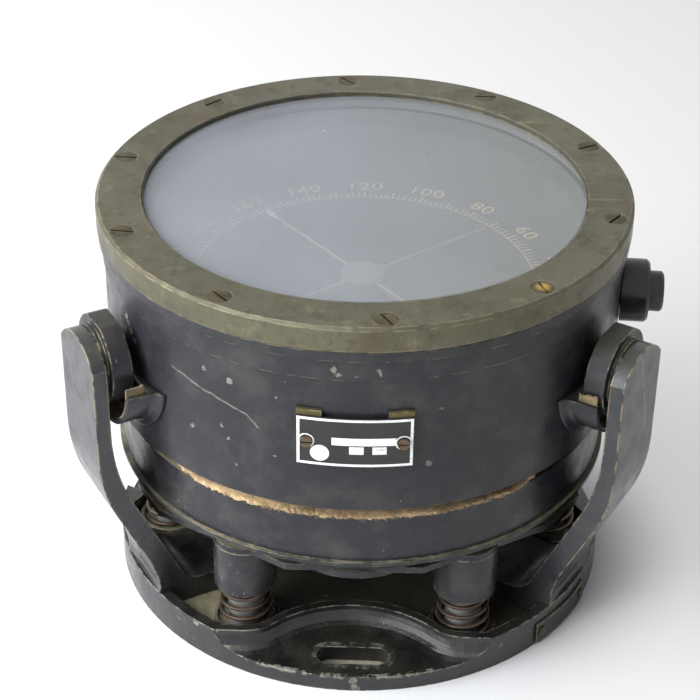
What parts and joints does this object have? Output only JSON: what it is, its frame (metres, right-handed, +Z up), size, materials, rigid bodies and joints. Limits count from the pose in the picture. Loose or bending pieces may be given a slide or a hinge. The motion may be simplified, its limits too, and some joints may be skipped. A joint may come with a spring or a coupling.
{
  "type": "aircraft compass",
  "caption": "Liquid-filled aircraft compass with a round bowl, bronze bezel and glass, sprung on a scalloped tray and held by cast arms",
  "frame": {"origin": "centre of the base's flat underside", "axes": "Z up through the bowl, -Y to the front with the nameplate, X to the lamp's side"},
  "size_m": [0.201, 0.1955, 0.1453],
  "materials": {
    "black_paint": "satin, chipped and dusty",
    "dark_plate": "satin with a worn edge",
    "dial_black": "matte",
    "cream_paint": "matte, faded",
    "steel_dull": "aged",
    "bright_steel": "turned, bright",
    "magnet_steel": "dull",
    "spring_bronze": "aged wire",
    "brass_dull": "tarnished",
    "phosphor_bronze": "rolled sheet",
    "bezel_bronze": "patinated",
    "rubber_black": "aged",
    "felt_tan": "pressed felt, dusty",
    "felt_green": "pressed felt, faded",
    "clear_glass": "clear, hazed with age",
    "lamp_glass": "clear",
    "bakelite": "moulded, glossy",
    "jewel_red": "polished"
  },
  "bodies": {
    "base": {"base_casting": "black_paint", "rim_strip": "dark_plate", "strip_screws": "brass_dull", "arm_left": "black_paint", "arm_right": "black_paint", "arm_rear": "black_paint", "arm_screws": "steel_dull", "disc_left": "black_paint", "disc_right": "black_paint", "disc_rear": "black_paint", "disc_screws": "steel_dull", "spring_spigots": "bright_steel", "spigot_screws": "steel_dull", "spring_1": "spring_bronze", "spring_2": "spring_bronze", "spring_3": "spring_bronze", "spring_4": "spring_bronze", "spring_5": "spring_bronze", "spring_6": "spring_bronze"},
    "bowl": {"carrier_plate": "black_paint", "cushion_ring": "rubber_black", "case_bolts": "steel_dull", "lower_case": "black_paint", "felt_ring": "felt_tan", "case_screws": "steel_dull", "bowl_shell": "black_paint", "diaphragm": "phosphor_bronze", "diaphragm_ring": "brass_dull", "diaphragm_screws": "brass_dull", "filler_plug": "brass_dull", "cradle_left": "black_paint", "cradle_right": "black_paint", "cradle_rear": "black_paint", "cradle_felts": "felt_green", "cradle_screws": "steel_dull", "dial_ring": "dial_black", "lubber_pointer": "cream_paint", "pivot_post": "brass_dull", "glass_gasket": "rubber_black", "glass": "clear_glass", "bezel": "bezel_bronze", "bezel_screws": "bezel_bronze", "nameplate": "dark_plate", "nameplate_blocks": "brass_dull", "nameplate_screws": "brass_dull", "lamp_window": "clear_glass", "sleeve_screws": "steel_dull", "sleeve_1": "black_paint", "sleeve_2": "black_paint", "sleeve_3": "black_paint", "sleeve_4": "black_paint", "sleeve_5": "black_paint", "sleeve_6": "black_paint"},
    "needle": {"needle_hub": "dial_black", "needle_arms": "cream_paint", "needle_magnets": "magnet_steel", "jewel_cup": "jewel_red"},
    "lamp": {"lamp_holder": "bakelite", "lamp_bulb": "lamp_glass"}
  },
  "joints": [
    {"name": "bowl_float", "type": "slide", "parent": "base", "child": "bowl", "axis": [0, 0, 1], "range_m": [-0.004, 0.0015], "stiffness_N_per_m": 9000, "springref_m": 0.0071, "deforming": ["spring_1", "spring_2", "spring_3", "spring_4", "spring_5", "spring_6"]},
    {"name": "needle_turn", "type": "hinge", "parent": "bowl", "child": "needle", "pos_m": [0, 0, 0.1085], "axis": [0, 0, 1], "continuous": true},
    {"name": "lamp_pull", "type": "slide", "parent": "bowl", "child": "lamp", "axis": [0.9986, -0.0523, 0], "range_m": [0, 0.02]}
  ]
}
